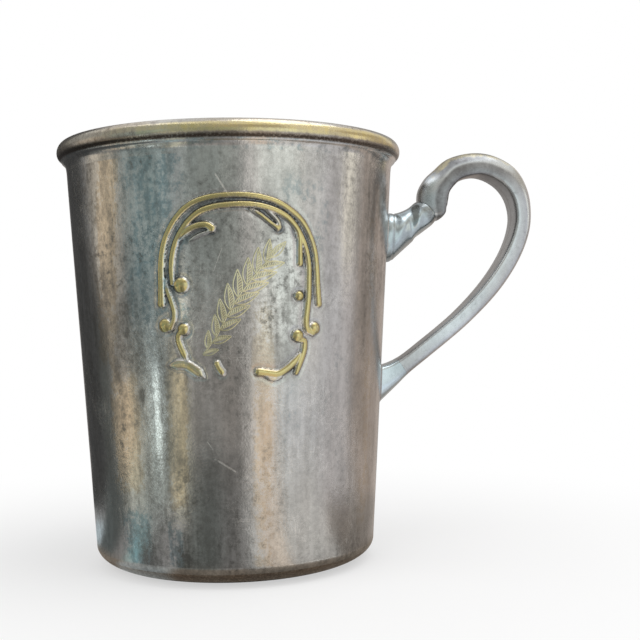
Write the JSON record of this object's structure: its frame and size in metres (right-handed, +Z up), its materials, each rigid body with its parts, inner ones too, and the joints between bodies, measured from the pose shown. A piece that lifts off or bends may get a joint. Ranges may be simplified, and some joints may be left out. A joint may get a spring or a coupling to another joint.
{
  "type": "mug",
  "caption": "Small tapered metal drinking mug with a moulded rim, a scroll cartouche raised on its front and a hollow scroll handle.",
  "frame": {"origin": "middle of the flat underside, on the axis of the cup", "axes": "+Z up along the axis of the cup, +X towards the handle, -Y towards the cartouche"},
  "size_m": [0.1135, 0.08, 0.0966],
  "materials": {
    "worn_plate": "tarnished silver plate over brass, satin",
    "base_plate": "worn silver plate, brushed",
    "rim_brass": "plate worn through to brass, polished by use",
    "handle_plate": "silver plate, smooth",
    "casting_plate": "silver plate over a casting, smooth",
    "solder": "soft solder, dull"
  },
  "bodies": {
    "root": {"body_sleeve": "worn_plate", "base_pan": "base_plate", "base_solder": "solder", "rim_moulding": "rim_brass", "rim_solder": "solder", "handle_near_half": "handle_plate", "handle_far_half": "handle_plate", "upper_bracket": "casting_plate", "upper_solder": "solder", "lower_foot": "casting_plate", "lower_solder": "solder"}
  },
  "joints": []
}
